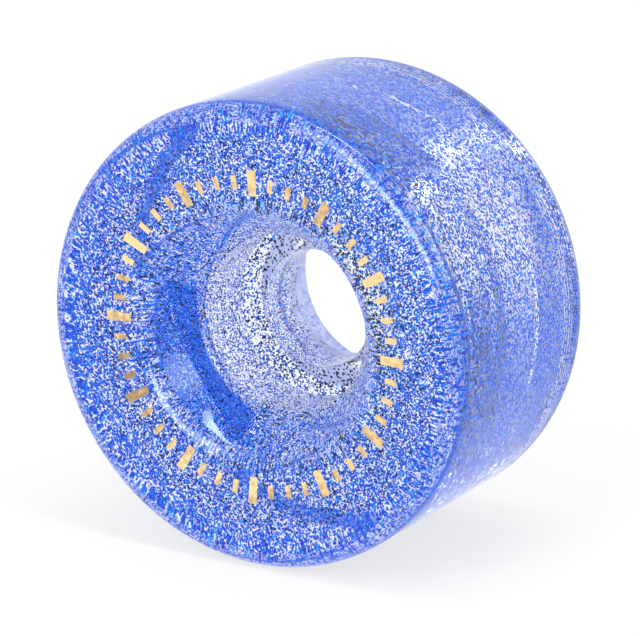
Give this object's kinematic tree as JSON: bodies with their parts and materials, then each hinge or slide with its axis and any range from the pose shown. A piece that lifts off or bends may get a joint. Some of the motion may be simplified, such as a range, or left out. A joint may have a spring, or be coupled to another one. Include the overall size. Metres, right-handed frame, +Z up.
{
  "type": "roller skate wheel",
  "caption": "Clear blue-tinted cast skate wheel with glitter flakes in it, a dished front face with gold marks, and stepped bearing seats round an axle hole.",
  "frame": {"origin": "the wheel's centre: on the axle line, midway across its width", "axes": "+Y along the axle towards the back face, so the front face with its recess looks along -Y; +Z up, with the wheel standing on its tread"},
  "size_m": [0.057, 0.032, 0.057],
  "materials": {
    "clear_urethane": "clear gloss with a faint blue tint",
    "blue_glitter": "metallised blue film",
    "gold_ink": "metallic gold print"
  },
  "bodies": {
    "root": {"urethane_casting": "clear_urethane", "tread_flakes": "blue_glitter", "hub_flakes": "blue_glitter", "web_flakes": "blue_glitter", "gold_bars": "gold_ink", "gold_ticks": "gold_ink"}
  },
  "joints": []
}
